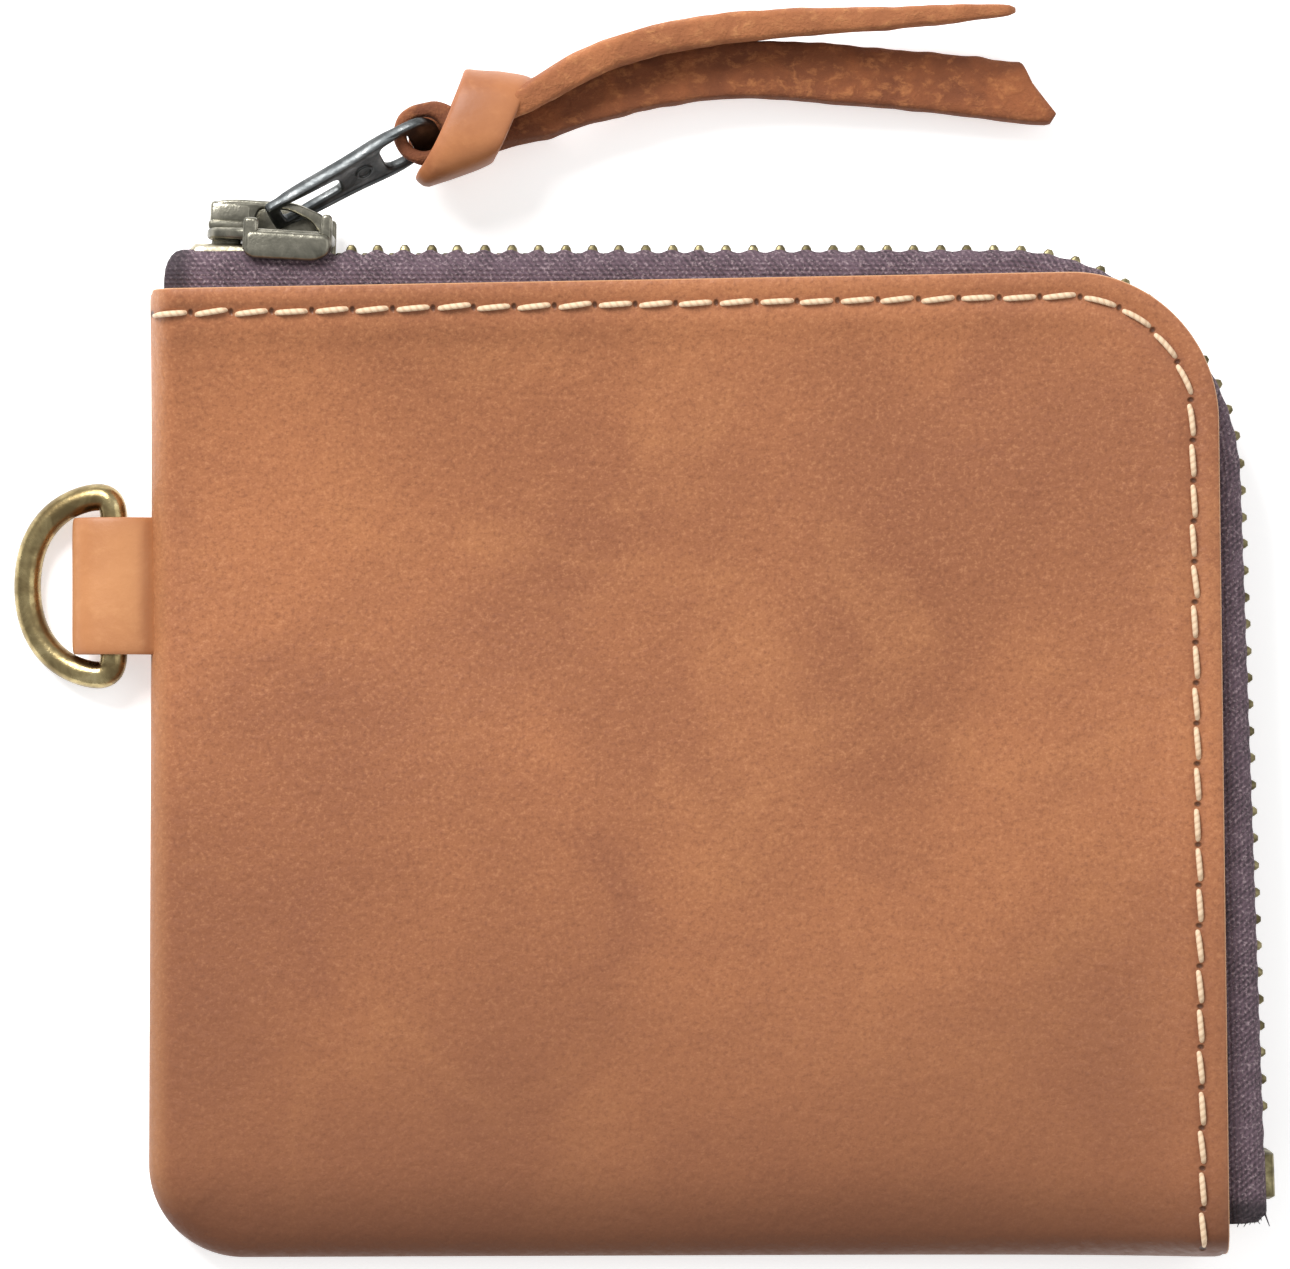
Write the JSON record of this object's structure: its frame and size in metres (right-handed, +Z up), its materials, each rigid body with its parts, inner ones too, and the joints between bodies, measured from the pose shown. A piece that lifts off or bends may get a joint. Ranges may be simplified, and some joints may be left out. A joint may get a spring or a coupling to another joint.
{
  "type": "zippered leather pouch",
  "caption": "Flat leather pouch with a metal zip round two sides, a leather pull strap on the slider and a D-ring on a folded tab.",
  "frame": {"origin": "under the middle of the whole object's box, on the surface that the back panel lies on", "axes": "+X along the zipped top edge away from the closed seam, +Y from the bottom seam to the zipped top edge, +Z up out of the front panel"},
  "size_m": [0.1182, 0.118, 0.0121],
  "materials": {
    "tan_leather": "waxed pull-up leather, matt, cloudy",
    "tab_leather": "smooth pale vegetable-tanned leather",
    "strap_leather": "smooth grain on the knot, rough flesh side on the tails",
    "cream_thread": "waxed twisted thread",
    "zip_tape": "plum twill tape",
    "antique_brass": "antique brass, satin, darkened in the hollows",
    "gunmetal": "gunmetal plating, satin"
  },
  "bodies": {
    "pouch": {"front_panel": "tan_leather", "back_panel": "tan_leather", "front_edge_thread": "cream_thread", "back_edge_thread": "cream_thread", "closing_seam_thread": "cream_thread", "zip_tape_front": "zip_tape", "zip_tape_back": "zip_tape", "tooth_row_front": "antique_brass", "tooth_row_back": "antique_brass", "top_stop_front": "gunmetal", "top_stop_back": "gunmetal", "bottom_stop": "antique_brass", "d_ring_tab": "tab_leather"},
    "slider": {"slider_body": "gunmetal", "slider_crown": "gunmetal"},
    "pull": {"pull_tab": "gunmetal"},
    "strap": {"pull_strap": "strap_leather"},
    "ring": {"d_ring": "antique_brass"}
  },
  "joints": [
    {"name": "slider_slide", "type": "slide", "parent": "pouch", "child": "slider", "axis": [1, 0, 0], "range_m": [0, 0.062]},
    {"name": "pull_swing", "type": "hinge", "parent": "slider", "child": "pull", "pos_m": [-0.03451, 0.03891, 0.006], "axis": [0, 0, 1], "range_deg": [-5, 120]},
    {"name": "strap_swing", "type": "hinge", "parent": "pull", "child": "strap", "pos_m": [-0.02064, 0.04647, 0.006], "axis": [0, 0, 1], "range_deg": [-5, 45]},
    {"name": "ring_swing", "type": "hinge", "parent": "pouch", "child": "ring", "pos_m": [-0.04991, 0.00415, 0.003], "axis": [0, 1, 0], "range_deg": [0, 125]}
  ]
}
